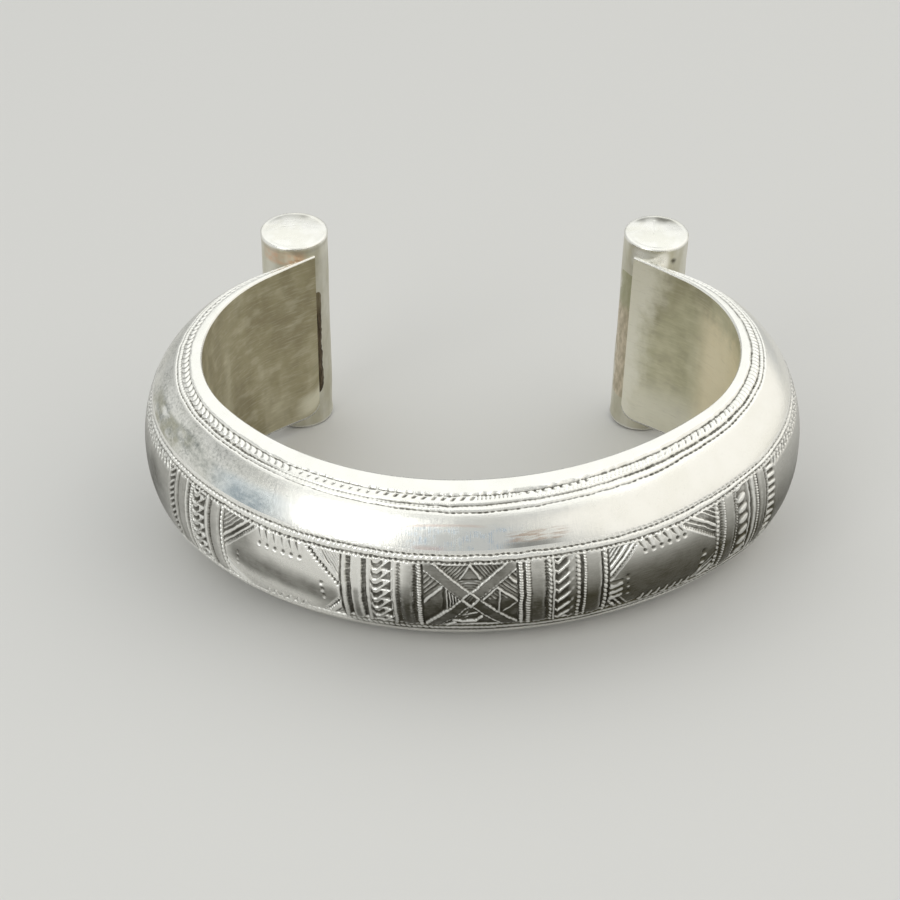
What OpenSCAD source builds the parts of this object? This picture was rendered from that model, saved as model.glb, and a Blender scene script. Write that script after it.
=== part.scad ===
// Silver cuff bangle in one piece: a band with a flat inner wall and a domed outer face, thick at
// the front and hammered out into thin plates at its two ends, with a solid cylinder soldered on
// the outside of each plate. It lies on its side, on the front rim and the feet of the cylinders,
// with the opening to the back (+Y). Millimetres.

/* [Plan] */
// Clear width inside, from side to side
inner_w = 60; // [54:0.5:66]
// Radius of the inner wall along the front
front_r = 35.3; // [34:0.1:45]
// Radius of the inner wall round each side
side_r = 15.5; // [12:0.5:20]
// Heading where the side bend stops, in degrees from straight across
side_turn = 141.5; // [132:0.5:150]
// Length of the nearly straight run at each end
end_run = 6.7; // [5:0.1:12]
// How many degrees that run still turns
end_bend = 4; // [0.5:0.1:8]
// How far both sides are forged over to the right of the middle
skew = 1; // [0:0.1:2]

/* [Section] */
// Height of the band at the front
front_h = 19; // [15:0.5:21]
// Height of the plates at their ends
end_h = 23.7; // [22:0.1:25]
// Thickness of the band, from the inner wall to the top of the dome
thick = 8; // [5:0.5:10]
// Thickness of the plates at their ends
end_thick = 1.6; // [1.2:0.1:2.5]
// How late the band thins: a power of the way along
thinning = 5; // [3:0.5:8]
// Fullness of the dome outwards, 2 is an ellipse
full_out = 2.2; // [2:0.1:3]
// Fullness of the dome upwards, 2 is an ellipse
full_up = 2.1; // [2:0.1:3]
// Easing of the inner edges of both rims
rim_ease = 0.3; // [0.1:0.1:0.6]
// Radius of the lower corner of both plates
corner_r = 2; // [0.5:0.1:3]
// Easing of the inner edge of both plates' ends
end_ease = 0.25; // [0.15:0.05:0.4]

/* [Borders] */
// Depth of the lines on either side of the rope border
rope_line = 0.2; // [0:0.05:0.35]
// Depth of the lines on either side of the middle band
band_line = 0.25; // [0:0.05:0.35]
// How much further from the middle the band's lower border runs than its upper one
band_drop = 0.7; // [0:0.1:1]

/* [Cylinders] */
// Diameter of the soldered cylinder on the left
left_d = 8.1; // [6:0.05:9]
// Diameter of the one on the right
right_d = 7.65; // [6:0.05:9]
// Length of the cylinders
cyl_h = 27.4; // [26:0.1:30]
// Height of the slight dome on their ends
cyl_dome = 0.25; // [0.05:0.05:0.5]
// Easing of their edges
cyl_ease = 0.3; // [0.1:0.1:0.8]
// How far their axes stand back from the ends of the plates
cyl_back = 0.5; // [0:0.1:3]
// How far their sides are set back from the inner wall
cyl_set = 0.1; // [0.05:0.05:0.5]
// Sideways lean of both ends, in millimetres for each millimetre of height
lean = 0.041; // [0:0.001:0.06]

/* [Hidden] */
$fn = 96;

// Lines and swells of the outer face from the rim inwards, as shares of the half height. Both
// tables name a line's share at the front, its share at the ends and how deep it is sunk; the
// rim rows drift evenly along the band and the band rows with the cube of the way along. The last
// column of the band rows is how much of the lower border's drop they share.
rim_rows = [
    // front, ends, sunk
    [0.9990, 0.9997, 0],
    [0.9935, 0.9992, 0],
    [0.9700, 0.9985, 0],
    [0.9660, 0.9980, rope_line],
    [0.9610, 0.9972, 0],
    [0.9260, 0.9895, 0],
    [0.9200, 0.9880, rope_line],
    [0.9135, 0.9860, 0],
    [0.8900, 0.9760, 0],
    [0.8830, 0.9730, rope_line],
    [0.8755, 0.9700, 0],
    [0.8250, 0.9550, 0],
    [0.7600, 0.9420, 0],
];
band_rows = [
    // front, ends, sunk, drop
    [0.6850, 0.9300, 0, 0.3],
    [0.6100, 0.9180, 0, 0.65],
    [0.5450, 0.9070, 0, 1],
    [0.5350, 0.9000, band_line, 1],
    [0.5250, 0.8930, 0, 1],
    [0.4820, 0.8580, 0, 1],
    [0.4730, 0.8500, band_line, 1],
    [0.4630, 0.8420, 0, 1],
    [0.3200, 0.6000, 0, 0.7],
    [0.1600, 0.3000, 0, 0.35],
    [0, 0, 0, 0],
];

// Plan of the inner wall: heading at which the front bend meets the side bend, and the steps of
// each stretch from the front to an end
front_turn = asin((inner_w / 2 - side_r) / (front_r - side_r));
end_turn = side_turn + end_bend;
end_r = end_run / (end_bend * PI / 180);
corner_turn = end_bend * corner_r / end_run;
front_steps = 11;
side_steps = 20;
end_steps = 4;
corner_steps = 5;
headings = concat(
    [for (i = [0:front_steps]) front_turn * i / front_steps],
    [for (i = [1:side_steps]) front_turn + (side_turn - front_turn) * i / side_steps],
    [for (i = [1:end_steps]) side_turn + (end_bend - corner_turn) * i / end_steps],
    [for (i = [1:corner_steps]) end_turn - corner_turn * (1 - sin(90 * i / corner_steps))]
);

// Centre of the bend that a heading lies on, for the right half with the front at the origin
side_c = [0, front_r] + (front_r - side_r) * [sin(front_turn), -cos(front_turn)];
end_c = side_c + (side_r - end_r) * [sin(side_turn), -cos(side_turn)];
function wall_point(a) =
    a <= front_turn ? [0, front_r] + front_r * [sin(a), -cos(a)] :
    a <= side_turn ? side_c + side_r * [sin(a), -cos(a)] :
    end_c + end_r * [sin(a), -cos(a)];
function way_along(a) =
    let (front = front_r * min(a, front_turn),
         side = side_r * max(0, min(a, side_turn) - front_turn),
         end = end_r * max(0, a - side_turn))
    (front + side + end) / (front_r * front_turn + side_r * (side_turn - front_turn)
        + end_r * end_bend);
depth = wall_point(end_turn)[1];

// A station on either side (-1 left, 1 right): place on the wall, outward direction, way along,
// half height and thickness
function place(a, side) =
    let (p = wall_point(a)) [side * p[0] + skew * pow(p[0] / (inner_w / 2), 2), p[1] - depth / 2];
function outward(a, side) = [side * sin(a), -cos(a)];
function half_height(a) = (front_h + (end_h - front_h) * wall_point(a)[1] / depth) / 2;
function thickness(a) = end_thick + (thick - end_thick) * (1 - pow(way_along(a), thinning));

// Sideways shift of a point at height z, which grows from the middle of each side to the end
function blend(t) = let (s = max(0, min(1, t))) s * s * (3 - 2 * s);
function lean_at(a, z) = lean * z * blend((way_along(a) - 0.55) / 0.45);

// One point of the outer face at a share u of the half height, sunk along the surface's normal
function face_point(u, t, h, sunk) =
    let (r = t * pow(1 - pow(abs(u), full_up), 1 / full_out),
         across = full_out * pow(r / t, full_out - 1) / t,
         up = full_up * pow(abs(u), full_up - 1) * sign(u) / h,
         n = [across, up] / norm([across, up]))
    [r, u * h] - sunk * n;
function half_face(a, drop) =
    let (t = way_along(a), th = thickness(a), h = half_height(a), s = th / thick)
    concat(
        [for (q = rim_rows) face_point(q[0] + (q[1] - q[0]) * t, th, h, q[2] * s)],
        [for (q = band_rows) face_point(
            q[0] + (q[1] - q[0]) * pow(t, 3) + q[3] * drop / h * (1 - pow(t, 3)), th, h, q[2] * s)]
    );
// Share of its height that the lower half keeps where the plate's corner is rounded
function kept(a) =
    let (x = min(1, max(0, 1 - (end_turn - a) / corner_turn)))
    1 - corner_r * (1 - sqrt(1 - x * x)) / half_height(a);
// The whole section, from the upper inner edge over the face to the lower inner edge
function section(a) =
    let (f = half_face(a, 0), g = half_face(a, band_drop), h = half_height(a), n = len(f), k = kept(a))
    concat(
        [[0, h - rim_ease]], f,
        [for (i = [n - 2:-1:0]) [g[i][0], -g[i][1] * k]], [[0, (rim_ease - h) * k]]
    );
// The section at a plate's end starts a little out from the inner wall
function eased(r, a) = a < end_turn ? r : end_ease + r * (1 - end_ease / end_thick);
function ring(a, side) =
    let (p = place(a, side), n = outward(a, side))
    [for (q = section(a)) let (r = eased(q[0], a))
        [p[0] + n[0] * r + lean_at(a, q[1]), p[1] + n[1] * r, q[1]]];

last = len(headings) - 1;
rings = concat(
    [for (i = [last:-1:0]) ring(headings[i], -1)],
    [for (i = [1:last]) ring(headings[i], 1)]
);
across = len(rings[0]);
band_points = [for (r = rings) each r];

// Axis of a cylinder: its side is nearly flush with the inner wall at the plate's end
function cyl_r(side) = (side < 0 ? left_d : right_d) / 2;
function cyl_axis(side) =
    place(end_turn, side) + outward(end_turn, side) * (cyl_r(side) + cyl_set)
        - [side * cos(end_turn), sin(end_turn)] * cyl_back;

// The resting pose: the back is raised until the front rim and both feet are level
front_y = -depth / 2;
foot_y = (cyl_axis(-1)[1] - cyl_r(-1) + cyl_axis(1)[1] - cyl_r(1)) / 2 + cyl_ease;
rest_tilt = atan((cyl_h / 2 - cyl_dome - front_h / 2) / (foot_y - front_y));
function tilted(p) =
    [p[0], p[1] * cos(rest_tilt) - p[2] * sin(rest_tilt), p[1] * sin(rest_tilt) + p[2] * cos(rest_tilt)];
posed = [for (p = band_points) tilted(p)];
cyl_lean = atan(lean);
feet = [for (side = [-1, 1], up = [-1, 1], i = [0:23]) let (
    c = cyl_axis(side), r = cyl_r(side) - cyl_ease * 0.3, b = 15 * i,
    z = up * (cyl_h / 2 - cyl_dome - cyl_ease * 0.3))
    tilted([c[0] + r * cos(b) * cos(cyl_lean) + z * sin(cyl_lean), c[1] + r * sin(b),
        z * cos(cyl_lean) - r * cos(b) * sin(cyl_lean)])];
reach = concat(posed, feet);
low = [for (k = [0:2]) min([for (p = reach) p[k]])];
high = [for (k = [0:2]) max([for (p = reach) p[k]])];

module band() {
    polyhedron(
        points = band_points,
        faces = concat(
            [for (i = [0:len(rings) - 2], j = [0:across - 1]) let (
                a = i * across + j, b = i * across + (j + 1) % across)
                each [[a, b + across, b], [a, a + across, b + across]]],
            [[for (j = [0:across - 1]) j]],
            [[for (j = [across - 1:-1:0]) (len(rings) - 1) * across + j]]
        ),
        convexity = 6
    );
}

module cylinder_end(side) {
    c = cyl_axis(side);
    r = cyl_r(side);
    h = cyl_h / 2;
    e = cyl_ease;
    translate([c[0], c[1], 0]) rotate([0, cyl_lean, 0])
        rotate_extrude() polygon([
            [0, -h], [r * 0.6, -h + cyl_dome * 0.3], [r - e, -h + cyl_dome],
            [r - e * 0.3, -h + cyl_dome + e * 0.3], [r, -h + cyl_dome + e],
            [r, h - cyl_dome - e], [r - e * 0.3, h - cyl_dome - e * 0.3],
            [r - e, h - cyl_dome], [r * 0.6, h - cyl_dome * 0.3], [0, h]
        ]);
}

module cuff() {
    color("silver")
        translate([-(low[0] + high[0]) / 2, -(low[1] + high[1]) / 2, -low[2]])
            rotate([rest_tilt, 0, 0])
                union() {
                    band();
                    cylinder_end(-1);
                    cylinder_end(1);
                }
}

cuff();
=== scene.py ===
"""Silver cuff bangle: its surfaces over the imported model, and the studio it lies in."""

from functools import reduce
from math import asin, atan, pi, radians

import bpy
import numpy as np
from numpy import clip, concatenate, cos, hypot, interp, linspace, maximum, minimum, sign, sin, sqrt
from numpy import stack, where
from mathutils import Matrix, Vector


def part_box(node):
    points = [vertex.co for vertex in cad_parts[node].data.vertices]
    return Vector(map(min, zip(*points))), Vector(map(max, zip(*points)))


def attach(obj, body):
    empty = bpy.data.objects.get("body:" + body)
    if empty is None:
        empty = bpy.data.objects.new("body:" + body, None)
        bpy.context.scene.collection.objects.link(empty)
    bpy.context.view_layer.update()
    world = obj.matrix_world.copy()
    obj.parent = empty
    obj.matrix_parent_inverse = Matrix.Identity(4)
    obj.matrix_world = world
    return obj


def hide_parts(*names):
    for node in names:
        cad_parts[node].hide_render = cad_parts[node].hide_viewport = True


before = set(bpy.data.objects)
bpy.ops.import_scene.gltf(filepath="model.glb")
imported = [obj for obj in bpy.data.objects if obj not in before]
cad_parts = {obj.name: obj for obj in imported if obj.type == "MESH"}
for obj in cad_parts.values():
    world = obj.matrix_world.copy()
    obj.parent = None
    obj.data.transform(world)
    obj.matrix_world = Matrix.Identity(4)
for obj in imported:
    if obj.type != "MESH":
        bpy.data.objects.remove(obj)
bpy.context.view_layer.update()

MM = 0.001

# Driving sizes, as in part.scad, in millimetres
INNER_W, FRONT_R, SIDE_R = 60, 35.3, 15.5
SIDE_TURN, END_RUN, END_BEND = radians(141.5), 6.7, radians(4)
SKEW, LEAN = 1, 0.041
FRONT_H, END_H = 19, 23.7
THICK, END_THICK, THINNING = 8, 1.6, 5
FULL_OUT, FULL_UP = 2.2, 2.1
RIM_EASE, CORNER_R = 0.3, 2
CYL_R = {-1: 8.1 / 2, 1: 7.65 / 2}
CYL_H, CYL_DOME, CYL_EASE, CYL_BACK, CYL_SET = 27.4, 0.25, 0.3, 0.5, 0.1

# Plan and section, as in part.scad
FRONT_TURN = asin((INNER_W / 2 - SIDE_R) / (FRONT_R - SIDE_R))
END_TURN = SIDE_TURN + END_BEND
END_R = END_RUN / END_BEND
CORNER_TURN = END_BEND * CORNER_R / END_RUN
LENGTH = FRONT_R * FRONT_TURN + SIDE_R * (SIDE_TURN - FRONT_TURN) + END_RUN


def heading_vector(a):
    return stack([sin(a), -cos(a)], -1)


SIDE_C = np.array([0, FRONT_R]) + (FRONT_R - SIDE_R) * heading_vector(np.array(FRONT_TURN))
END_C = SIDE_C + (SIDE_R - END_R) * heading_vector(np.array(SIDE_TURN))


def wall(a):
    """Point of the right half's inner wall at a heading."""
    d, a = heading_vector(a), a[..., None]
    side = where(a <= SIDE_TURN, SIDE_C + SIDE_R * d, END_C + END_R * d)
    return where(a <= FRONT_TURN, np.array([0, FRONT_R]) + FRONT_R * d, side)


def way(a):
    """Share of the way from the front to an end."""
    side = SIDE_R * (clip(a, FRONT_TURN, SIDE_TURN) - FRONT_TURN)
    return (FRONT_R * minimum(a, FRONT_TURN) + side + END_R * maximum(0, a - SIDE_TURN)) / LENGTH


DEPTH = wall(np.array(END_TURN))[1]


def smooth(t):
    t = clip(t, 0, 1)
    return t * t * (3 - 2 * t)


def half_height(a):
    return (FRONT_H + (END_H - FRONT_H) * wall(a)[..., 1] / DEPTH) / 2


def thickness(a):
    return END_THICK + (THICK - END_THICK) * (1 - way(a) ** THINNING)


def kept(b):
    """Share of its height that the lower half keeps at a plate's rounded corner."""
    x = clip(1 - (END_TURN - b) / CORNER_TURN, 0, 1)
    return 1 - CORNER_R * (1 - sqrt(1 - x * x)) / half_height(b)


def place(a, out, z):
    """Point `out` from the inner wall at signed heading a and height z."""
    side, b = where(a < 0, -1, 1), abs(a)
    p = wall(b)
    z = where(z < 0, z * kept(b), z)
    x = side * p[..., 0] + SKEW * (p[..., 0] / (INNER_W / 2)) ** 2 + side * sin(b) * out
    x = x + LEAN * z * smooth((way(b) - 0.55) / 0.45)
    return stack([x, p[..., 1] - DEPTH / 2 - cos(b) * out, z + 0 * x], -1)


def face_point(a, u, lift=0):
    """Point of the outer face at signed heading a and share u of the half height, lifted off it."""
    b = abs(a)
    t, h = thickness(b), half_height(b)
    r = t * maximum(1 - abs(u) ** FULL_UP, 1e-9) ** (1 / FULL_OUT)
    across = FULL_OUT * (r / t) ** (FULL_OUT - 1) / t
    up = FULL_UP * abs(u) ** (FULL_UP - 1) * sign(u) / h
    g = hypot(across, up)
    return place(a, r + lift * across / g, u * h + lift * up / g)


# Resting pose
def cyl_axis(side):
    end = place(np.array(side * END_TURN), 0, 0)[:2]
    outward = np.array([side * sin(END_TURN), -cos(END_TURN)])
    along = np.array([side * cos(END_TURN), sin(END_TURN)])
    return end + outward * (CYL_R[side] + CYL_SET) - along * CYL_BACK


CAP_Z = CYL_H / 2 - CYL_DOME
FOOT_Y = sum(cyl_axis(side)[1] - CYL_R[side] for side in (-1, 1)) / 2 + CYL_EASE
TILT = atan((CAP_Z - FRONT_H / 2) / (FOOT_Y + DEPTH / 2))
CYL_LEAN = atan(LEAN)


def tilted(p):
    (x, y, z), c, s = np.moveaxis(p, -1, 0), cos(TILT), sin(TILT)
    return stack([x, y * c - z * s, y * s + z * c], -1)


def cyl_point(side, angle, r, z):
    c = cyl_axis(side)
    x, y = r * cos(angle), r * sin(angle)
    across, up = x * cos(CYL_LEAN) + z * sin(CYL_LEAN), z * cos(CYL_LEAN) - x * sin(CYL_LEAN)
    return stack([c[0] + across, c[1] + y, up], -1)


def clean_box():
    """Box of the undecorated solid in the tilted own frame."""
    a, u = linspace(-END_TURN, END_TURN, 361)[:, None], linspace(-1, 1, 201)[None]
    cloud = [face_point(a, u).reshape(-1, 3)]
    ring, e = linspace(0, 2 * pi, 49), CYL_EASE * 0.3
    for side, r in CYL_R.items():
        eased = (r - e, CAP_Z - e), (r, CAP_Z - CYL_EASE)
        cloud += [cyl_point(side, ring, edge_r, up * z) for edge_r, z in eased for up in (-1, 1)]
    cloud = tilted(concatenate(cloud))
    return cloud.min(0), cloud.max(0)


low, high = clean_box()
box_low, box_high = (np.array(c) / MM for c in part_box("cuff"))
SHIFT = np.array([*((box_low + box_high - low - high) / 2)[:2], box_low[2] - low[2]])


def to_frame(p):
    """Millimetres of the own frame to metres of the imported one."""
    return (tilted(p) + SHIFT) * MM


# Places on the outer face: s along its middle line from the front, q across it upwards
def run_of(points):
    """Distance run from the first of a row of points to each of them."""
    steps = np.linalg.norm(np.diff(points, axis=0), axis=-1)
    return concatenate([0 * steps[:1], np.cumsum(steps, 0)])


TURNS = linspace(0, END_TURN, 3001)
ALONG = run_of(face_point(TURNS, 0 * TURNS))
REACH = ALONG[-1]
SHARES = (1 - (1 - linspace(0, 1, 201)) ** 2)[:, None]


def heading_at(s):
    return sign(s) * interp(abs(s), ALONG, TURNS)


def arcs(a):
    """Distance across the face to each of SHARES, for a row of headings."""
    return run_of(face_point(a[None], SHARES))


def shares_of(s, q):
    """Shares of the half height for a row of s and a grid of q."""
    length = arcs(heading_at(s))
    columns = [interp(abs(q[:, j]), length[:, j], SHARES[:, 0]) for j in range(len(s))]
    return sign(q) * stack(columns, 1)


# Border lines: share of the half height at the front and at the ends, the power of the way that it
# drifts with, and how far the hand-cut line strays from that, as (s, millimetres) pairs
LINES = {
    "rim": (0.966, 0.998, 1, [(-60, 0), (-44, 0.1), (-36, 0), (-20, 0), (-8, 0.14), (8, 0.16), (20, 0.22),
        (33, 0.33), (44, 0.36), (52, 0.2), (64, 0)]),
    "rope": (0.92, 0.988, 1, [(-60, 0), (-28, -0.1), (-8, 0.08), (8, 0.05), (33, 0), (42, 0.1), (60, 0)]),
    "ridge": (0.883, 0.973, 1, [(-50, 0), (-8, 0.08), (0, 0.02), (3, -0.08), (8, -0.12), (15, -0.1),
        (25, -0.24), (29, -0.05), (34, -0.02), (42, 0.2), (60, 0)]),
    "bead": (0.535, 0.9, 3, [(-20, 0), (-12, 0.05), (0, -0.08), (10, -0.06), (14, -0.19), (17, -0.37),
        (22, -0.5), (26, -0.4), (36, -0.3), (42, -0.15), (50, 0)]),
    "panel": (0.473, 0.85, 3, [(-40, 0), (-28, -0.08), (-20, -0.25), (-12, -0.12), (10, -0.16), (14, -0.27),
        (17, -0.5), (22, -0.68), (26, -0.6), (30, -0.4), (36, -0.1), (50, 0)]),
}
STATIONS = linspace(-REACH, REACH, 661)
station_arcs = arcs(heading_at(STATIONS))
LINE_Q = {"edge": station_arcs[-1]}
for label, (front, ends, power, stray) in LINES.items():
    share_at = front + (ends - front) * way(abs(heading_at(STATIONS))) ** power
    found = [interp(share_at[j], SHARES[:, 0], station_arcs[:, j]) for j in range(len(STATIONS))]
    LINE_Q[label] = np.array(found) + interp(STATIONS, *zip(*stray))
gap = LINE_Q["ridge"] - LINE_Q["bead"]
LINE_Q["rim_top"] = LINE_Q["rim"] + minimum(0.15, 0.5 * (LINE_Q["edge"] - LINE_Q["rim"]))
LINE_Q["dome_top"] = LINE_Q["ridge"] - minimum(0.35, 0.3 * gap)
LINE_Q["dome_foot"] = LINE_Q["bead"] + minimum(0.55, 0.4 * gap)
# How much further from the middle line the band's lower border runs than its upper one
DROP = [(-50, 0), (-39, 0.25), (-32, 0.35), (-24, 0.8), (-18, 0.68), (-12, 0.6), (-6, 0.78), (0, 0.68),
        (8, 0.72), (12, 0.9), (16, 1.05), (28, 1.15), (36, 0.7), (42, 0.4), (52, 0)]


def line(name, s):
    return interp(s, STATIONS, LINE_Q[name])


def drop_at(s):
    return interp(s, *zip(*DROP))


def stations(count, start=-REACH, end=REACH):
    """Places along the band, closer together at the plates' corners."""
    corner = REACH - 1.05 * CORNER_R * (1 - sin(linspace(0, pi / 2, 14)))
    s = np.unique(np.round(concatenate([linspace(start, end, count), corner, -corner]), 4))
    return clip(s[(s > start - 0.001) & (s < end + 0.001)], start, end)


# Meshes
SIDE_NAME = {-1: "left", 1: "right"}


def add(name, data):
    piece = bpy.data.objects.new(name, data)
    bpy.context.scene.collection.objects.link(piece)
    return piece


def grid_piece(name, points, material, strip, dirt_and_shade=0, worn_and_highlight=0, tone=0, wrap=False, flip=False):
    """A smooth sheet over a (rows, columns, 3) grid of points. Its material reads each point's place
    on the band in millimetres, how dirty it is and how much painted shade it has, how rubbed it is and how
    much painted highlight it has, and how dark it is."""
    shape = points.shape[:2]
    index = np.arange(shape[0] * shape[1]).reshape(shape)
    if wrap:
        index = concatenate([index, index[:, :1]], 1)
    quads = stack([index[:-1, :-1], index[1:, :-1], index[1:, 1:], index[:-1, 1:]], -1)
    quads = quads.reshape(-1, 4)[:, ::-1 if flip else 1]
    mesh = bpy.data.meshes.new(name)
    mesh.from_pydata(to_frame(points).reshape(-1, 3).tolist(), [], quads.tolist())
    mesh.polygons.foreach_set("use_smooth", np.ones(len(quads), dtype=bool))
    for label, columns in (("strip", (*strip, 0)[:3]), ("wear_and_painted_light", (dirt_and_shade, worn_and_highlight, tone))):
        values = stack([np.broadcast_to(c, shape) for c in columns], -1).astype(np.float32)
        mesh.attributes.new(label, "FLOAT_VECTOR", "POINT").data.foreach_set("vector", values.ravel())
    mesh.materials.append(material)
    piece = add(name, mesh)
    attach(piece, "root")
    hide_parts("cuff")


def blurred(field, radius):
    """Box blur by running sums along both ways of a grid."""
    for _ in range(2):
        n = min(radius, len(field) // 2 - 1)
        total = np.cumsum(np.pad(field, ((n + 1, n), (0, 0)), mode="edge"), 0)
        field = ((total[2 * n + 1:] - total[:-2 * n - 1]) / (2 * n + 1)).T
    return field


def wear_and_highlight_of(lift, radius, full):
    """Dirt below a relief's surroundings, and polish with a painted highlight above them, each reaching 1
    at `full` mm.
    """
    proud = lift - blurred(blurred(lift, radius), max(1, radius // 2))
    return clip(-proud / full, 0, 1), clip(proud / full, 0, 1)


# Cuts and ridges, all in millimetres, negative below the face
def swells(x, y, seed):
    """Smooth noise between -1 and 1, one swell to each unit of x and y."""
    table = np.random.default_rng(seed).uniform(-1, 1, (64, 64))
    xi, yi = np.floor(x).astype(int), np.floor(y).astype(int)
    fx, fy = smooth(x - xi), smooth(y - yi)

    def corner_value(i, j):
        return table[(xi + i) % 64, (yi + j) % 64]

    low_side, high_side = (corner_value(0, j) * (1 - fx) + corner_value(1, j) * fx for j in (0, 1))
    return low_side * (1 - fy) + high_side * fy


def part_of(v):
    """Part of a repeat, from 0 to 1."""
    return v - np.floor(v)


def bell(v, wide):
    return np.exp(-((v / wide) ** 2))


def arch(v):
    """Height of a half circle, 1 in its middle and 0 at -1 and 1."""
    return sqrt(clip(1 - v ** 2, 0, 1))


def beads(v, wide):
    """Row of round swells, one in the middle of each repeat."""
    return bell(part_of(v) - 0.5, wide)


def dashes(v, half, soft):
    """Row of dashes, each `half` a repeat to either side of its middle."""
    return smooth((half - abs(part_of(v) - 0.5)) / soft)


def spot(x, y, centre, size):
    """Soft spot, `size` wide and high to either side of its centre."""
    return bell(hypot((x - centre[0]) / size[0], (y - centre[1]) / size[1]), 1)


def window(v, start, end, soft):
    """1 between start and end, falling to 0 over `soft` on either side."""
    return smooth((v - start) / soft + 0.5) * smooth((end - v) / soft + 0.5)


def beside(x, y, start, end):
    """Distance from a line, and how far along it its nearest point is, 0 to 1."""
    (x0, y0), (x1, y1) = start, end
    dx, dy = x1 - x0, y1 - y0
    t = clip(((x - x0) * dx + (y - y0) * dy) / (dx * dx + dy * dy), 0, 1)
    return hypot(x - x0 - t * dx, y - y0 - t * dy), t


def cut(lift, x, y, start, end, wide, depth, tail=1):
    """V-shaped cut, whose width and depth shrink to `tail` times at its end."""
    off, t = beside(x, y, start, end)
    size = 1 + (tail - 1) * t
    return lift - depth * size * clip(1 - 2 * off / (wide * size), 0, 1)


def rib(lift, x, y, start, end, wide, top, tail=1):
    """Raised line with its crest at `top`."""
    off, t = beside(x, y, start, end)
    crest = arch(2 * off / (wide * (1 + (tail - 1) * t)))
    return where(crest > 0, maximum(lift, lift + (top - lift) * crest), lift)


def ribs(lift, x, y, rows):
    """Ribs one after the other, each (x, y) to (x, y), wide, top."""
    for x0, y0, x1, y1, wide, top in rows:
        lift = rib(lift, x, y, (x0, y0), (x1, y1), wide, top)
    return lift


def punch(lift, x, y, centre, wide, depth):
    """Round dent with the metal pushed up below it."""
    x, y = (x - centre[0]) / wide, (y - centre[1]) / wide
    pushed = bell(hypot(x * 0.8, (y + 0.78) * 1.25), 0.45)
    return lift - depth * bell(hypot(x, y), 0.42) + 0.5 * depth * pushed


def teeth(v):
    """Row of teeth: 1 at the ends of each repeat, 0 in its middle."""
    return abs(2 * part_of(v) - 1)


def hatch(x, y, angle, pitch):
    """Parallel V cuts at an angle to the band: 0 on a crest, -1 in a cut."""
    return -teeth((y * cos(angle) - x * sin(angle)) / pitch)


# Columns of the middle band: x from 0 to wide, q up from the middle line, h its half height
def plain_bar(x, q, wide, h):
    return -0.02 - 0.13 * abs(2 * x / wide - 1) ** 3 + 0.008 * swells(x * 2, q * 1.3, 2)


def groove(x, q, wide, h):
    return -0.12 - 0.26 * sqrt(clip(1 - abs(2 * x / wide - 1), 0, 1)) + 0.03 * swells(q * 2.6, x, 3)


def beaded_groove(x, q, wide, h):
    return groove(x, q, wide, h) + 0.12 * beads((q + 0.3 * x) / 0.38, 0.2)


def deep_groove(x, q, wide, h):
    return 1.3 * groove(x, q, wide, h) - 0.08 + 0.1 * beads((q + 0.3 * x) / 0.42, 0.16)


def round_bar(x, wide):
    return -0.24 * (1 - arch(2 * x / wide - 1))


def thin_rib(x, q, wide, h):
    return round_bar(x, wide) + 0.02 + 0.02 * swells(q * 2.2, x, 4)


def beaded_rib(x, q, wide, h, pitch=0.56, lay=0.5):
    return round_bar(x, wide) + 0.02 - 0.17 * beads((q + lay * x) / pitch, 0.2)


def fine_beads(x, q, wide, h):
    return beaded_rib(x, q, wide, h, 0.34, 0.2)


def gouges(x, q, wide, h):
    """Slanting hollows with a lip under each, running out towards the far edge."""
    pitch, bend = 1.26, 0.33
    crest = 2.36 + where(x > bend, 0.76 * (x - bend), 0.8 * (bend - x))
    f = part_of((q - crest) / pitch)
    reach = smooth((0.8 * wide - x) / (0.3 * wide))
    hollow = smooth((f - 0.05) / 0.16) * smooth((0.8 - f) / 0.35)
    lip = bell(minimum(f, 1 - f), 0.1) * smooth((0.8 * wide - x) / 0.4)
    knob = spot(x, part_of(f + 0.35), (0.86 * wide, 0.5), (0.26, 0.34 / pitch))
    return -0.13 - 0.3 * hollow * reach + 0.15 * lip + 0.09 * knob


def level_gouges(x, q, wide, h):
    """Nearly level hollows between bright bars, on the outermost columns."""
    off = abs(part_of(q + 0.12 * x) - 0.5)
    reach = smooth((wide - x) / (0.35 * wide)) * smooth(x / 0.14)
    return -0.08 + reach * (0.07 * bell(off, 0.16) - 0.28 * smooth((off - 0.16) / 0.16))


def leaning_gouges(x, q, wide, h):
    off = abs(part_of((q - 0.9 * x) / 0.78) - 0.5)
    reach = smooth((wide - x) / (0.4 * wide)) * smooth(x / 0.2)
    return -0.06 - 0.26 * reach * smooth((off - 0.18) / 0.16)


def blobs(x, q, wide, h):
    """Ladder of round-backed pads with dark gaps between them."""
    f = part_of((q + 0.64 - 0.35 * x) / 1.5) - 0.5
    pad = arch(hypot(f / 0.34, (x / wide - 0.47 + 0.04 * q) / 0.4))
    return -0.34 + 0.36 * pad + 0.2 * smooth((x - 0.86 * wide) / (0.12 * wide))


def zigzag(x, q, wide, h):
    """Curled hollows along one half and sunk triangles along the other, a bright line between."""
    pitch, full = 1.26, 2.3
    x = x * full / wide
    rise = where(x < 0.28, 2.4 * (0.28 - x), where(x > 0.7, 0.95 * (x - 0.7), 0))
    f = part_of((q - 0.46 - rise) / pitch) * pitch
    hollow = smooth((f - 0.1) / 0.14) * smooth((0.8 - f) / 0.3)
    hollow = hollow * smooth(x / 0.16) * smooth((1.38 - x) / 0.35)
    drop = pitch - f
    triangle = smooth(minimum(drop - 0.14, 1.02 * (x - 0.8) - drop) / 0.1)
    triangle = triangle * smooth((full - 0.12 - x) / 0.1)
    return -0.1 - 0.32 * maximum(hollow, triangle) + 0.14 * bell(minimum(f, drop), 0.1)


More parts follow.
